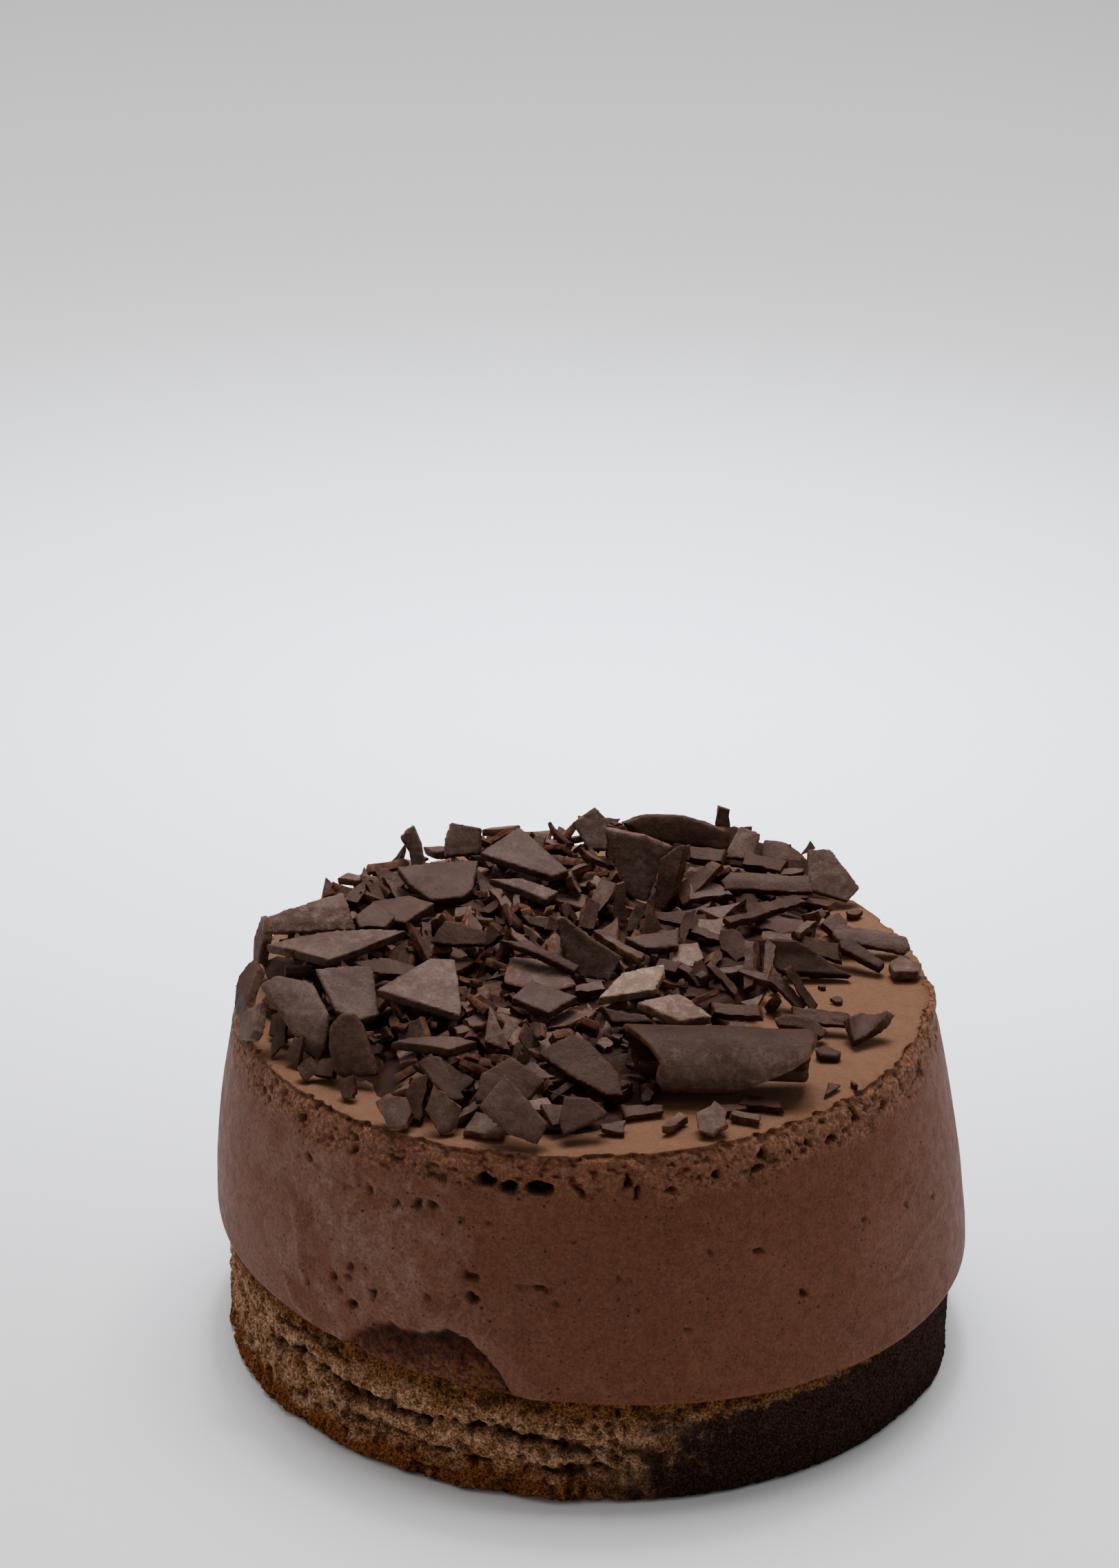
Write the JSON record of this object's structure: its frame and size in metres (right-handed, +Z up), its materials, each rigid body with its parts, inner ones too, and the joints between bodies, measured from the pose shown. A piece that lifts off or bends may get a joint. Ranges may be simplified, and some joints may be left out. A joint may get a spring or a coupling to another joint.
{
  "type": "small chocolate mousse cake",
  "caption": "Small round chocolate mousse cake: a crumbly sponge base, a smooth mousse body with a torn shoulder, and a heap of dark chocolate shavings with one rolled curl on top.",
  "frame": {"origin": "middle of the flat underside", "axes": "+Z up, -Y towards the front, +X to the right as seen from the front"},
  "size_m": [0.0815, 0.0814, 0.0495],
  "materials": {
    "mousse": "matt, finely porous chocolate mousse",
    "sponge": "open, dry sponge crumb, dark and moist at the right",
    "chocolate": "dark chocolate with a dull grey bloom"
  },
  "bodies": {
    "root": {"mousse_body": "mousse", "shaving_apex_back": "chocolate", "shaving_arch_back": "chocolate", "shaving_arch_right": "chocolate", "shaving_bar_left": "chocolate", "shaving_bar_right": "chocolate", "shaving_behind_roll": "chocolate", "shaving_blade_back": "chocolate", "shaving_chip_back": "chocolate", "shaving_curl_left": "chocolate", "shaving_dark_front": "chocolate", "shaving_dart_left": "chocolate", "shaving_diamond": "chocolate", "shaving_diamond_right": "chocolate", "shaving_end_left": "chocolate", "shaving_fin_centre": "chocolate", "shaving_flake_right": "chocolate", "shaving_flap_front": "chocolate", "shaving_folded_back": "chocolate", "shaving_hollow_right": "chocolate", "shaving_inner_left": "chocolate", "shaving_leaf_front": "chocolate", "shaving_lip_of_roll": "chocolate", "shaving_plank_left": "chocolate", "shaving_plate_back": "chocolate", "shaving_plate_centre": "chocolate", "shaving_plate_front": "chocolate", "shaving_plate_mid_left": "chocolate", "shaving_plate_middle": "chocolate", "shaving_plate_right": "chocolate", "shaving_red_flake": "chocolate", "shaving_roll_front": "chocolate", "shaving_second_shell": "chocolate", "shaving_shell_left": "chocolate", "shaving_slab_right": "chocolate", "shaving_spike_front": "chocolate", "shaving_square_left": "chocolate", "shaving_standing_curl": "chocolate", "shaving_stick_right": "chocolate", "shaving_strip_back": "chocolate", "shaving_strip_centre": "chocolate", "shaving_strip_front": "chocolate", "shaving_strip_right": "chocolate", "shaving_tongue_left": "chocolate", "shaving_triangle_back": "chocolate", "shaving_triangle_front": "chocolate", "shaving_triangle_left": "chocolate", "shaving_under_roll": "chocolate", "shaving_upright_back": "chocolate", "shavings_heap": "chocolate", "sponge_base": "sponge"}
  },
  "joints": []
}
